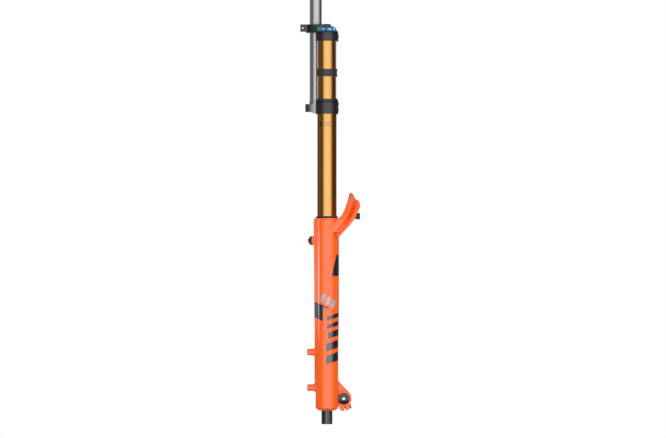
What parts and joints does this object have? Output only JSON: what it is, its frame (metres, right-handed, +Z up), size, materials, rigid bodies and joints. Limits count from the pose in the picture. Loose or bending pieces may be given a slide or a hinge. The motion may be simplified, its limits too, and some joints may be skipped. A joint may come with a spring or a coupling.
{
  "type": "bicycle suspension fork",
  "caption": "Dual-crown telescopic suspension fork with gold stanchions in a one-piece orange lower casting, straight steerer, forward dropouts and rear caliper posts.",
  "frame": {"origin": "on the steerer axis, in the plane of the crown race seat on top of the lower crown", "axes": "+Z up along the steerer, +X forward (towards the axle and the arch), +Y to the rider's left (the caliper side)"},
  "size_m": [0.1249, 0.2386, 0.8894],
  "materials": {
    "steerer_alloy": "satin anodised, silver grey",
    "crown_black": "satin black anodised forging",
    "bolt_black": "black oxide",
    "stanchion_gold": "polished hard gold coating",
    "rubber_black": "matt",
    "dial_blue": "bright blue anodised",
    "dial_black": "satin black anodised",
    "machined_alloy": "turned",
    "polished_steel": "ground shaft",
    "spring_steel": "bright wire",
    "polymer_black": "moulded",
    "polymer_grey": "moulded",
    "bushing_bronze": "lined bearing strip",
    "copper_washer": "soft washer",
    "knob_red": "red anodised",
    "leg_orange": "gloss orange over a magnesium casting"
  },
  "bodies": {
    "chassis": {"steerer_tube": "steerer_alloy", "lower_crown": "crown_black", "upper_crown": "crown_black", "lower_crown_bolts": "bolt_black", "upper_crown_bolts": "bolt_black", "steerer_clamp_bolt": "bolt_black", "stanchion_right": "stanchion_gold", "stanchion_left": "stanchion_gold", "frame_bumper_right": "rubber_black", "frame_bumper_left": "rubber_black", "damper_top_cap": "crown_black", "damper_cartridge_tube": "machined_alloy", "compression_valve": "machined_alloy", "floating_piston_spring": "spring_steel", "damper_seal_head": "machined_alloy", "air_top_cap": "crown_black", "air_valve": "machined_alloy", "volume_spacers": "polymer_grey", "air_seal_head": "machined_alloy", "top_out_bumper": "rubber_black"},
    "high_speed_dial": {"high_speed_compression_dial": "dial_blue"},
    "low_speed_dial": {"low_speed_compression_dial": "dial_black"},
    "floating_piston": {"floating_piston": "machined_alloy"},
    "valve_cap": {"air_valve_cap": "crown_black"},
    "lowers": {"lower_leg_casting": "leg_orange", "damper_shaft": "polished_steel", "rebound_piston": "machined_alloy", "air_shaft": "polished_steel", "air_piston": "machined_alloy", "crush_washers": "copper_washer", "damper_foot_nut": "machined_alloy", "air_foot_nut": "crown_black", "axle_insert": "machined_alloy", "axle_pinch_bolt": "bolt_black", "brake_hose_guide": "polymer_black", "hose_guide_screw": "bolt_black", "wiper_seal_right": "rubber_black", "foam_ring_right": "polymer_grey", "upper_bushing_right": "bushing_bronze", "lower_bushing_right": "bushing_bronze", "bottom_out_bumper_right": "rubber_black", "bleeder_body_right": "polymer_black", "wiper_seal_left": "rubber_black", "foam_ring_left": "polymer_grey", "upper_bushing_left": "bushing_bronze", "lower_bushing_left": "bushing_bronze", "bottom_out_bumper_left": "rubber_black", "bleeder_body_left": "polymer_black"},
    "bleeder_right": {"bleeder_button_right": "rubber_black"},
    "bleeder_left": {"bleeder_button_left": "rubber_black"},
    "axle": {"axle": "crown_black"},
    "rebound_cap": {"rebound_cap": "crown_black"},
    "high_speed_rebound": {"high_speed_rebound_knob": "knob_red"},
    "low_speed_rebound": {"low_speed_rebound_knob": "knob_red"}
  },
  "joints": [
    {"name": "travel", "type": "slide", "parent": "chassis", "child": "lowers", "axis": [0, 0, 1], "range_m": [0, 0.203]},
    {"name": "floating_piston_slide", "type": "slide", "parent": "chassis", "child": "floating_piston", "axis": [0, 0, 1], "range_m": [0, 0.0262], "deforming": ["floating_piston_spring"]},
    {"name": "high_speed_dial_turn", "type": "hinge", "parent": "chassis", "child": "high_speed_dial", "pos_m": [0.023, -0.092, 0.155], "axis": [0, 0, 1], "range_deg": [-120, 120]},
    {"name": "low_speed_dial_turn", "type": "hinge", "parent": "chassis", "child": "low_speed_dial", "pos_m": [0.023, -0.092, 0.163], "axis": [0, 0, 1], "range_deg": [-160, 160]},
    {"name": "valve_cap_lift", "type": "slide", "parent": "chassis", "child": "valve_cap", "axis": [0, 0, 1], "range_m": [0, 0.06]},
    {"name": "bleeder_right_press", "type": "slide", "parent": "lowers", "child": "bleeder_right", "axis": [1, 0, 0], "range_m": [0, 0.0015]},
    {"name": "bleeder_left_press", "type": "slide", "parent": "lowers", "child": "bleeder_left", "axis": [1, 0, 0], "range_m": [0, 0.0015]},
    {"name": "axle_withdraw", "type": "slide", "parent": "lowers", "child": "axle", "axis": [0, -1, 0], "range_m": [0, 0.21]},
    {"name": "rebound_cap_pull", "type": "slide", "parent": "lowers", "child": "rebound_cap", "axis": [0, 0, -1], "range_m": [0, 0.04]},
    {"name": "high_speed_rebound_turn", "type": "hinge", "parent": "lowers", "child": "high_speed_rebound", "pos_m": [0.023, -0.092, -0.653], "axis": [0, 0, 1], "range_deg": [-120, 120]},
    {"name": "low_speed_rebound_turn", "type": "hinge", "parent": "lowers", "child": "low_speed_rebound", "pos_m": [0.023, -0.092, -0.658], "axis": [0, 0, 1], "range_deg": [-160, 160]}
  ],
  "couplings": [
    {"joint": "floating_piston_slide", "follows": "travel", "ratio": 0.128}
  ]
}
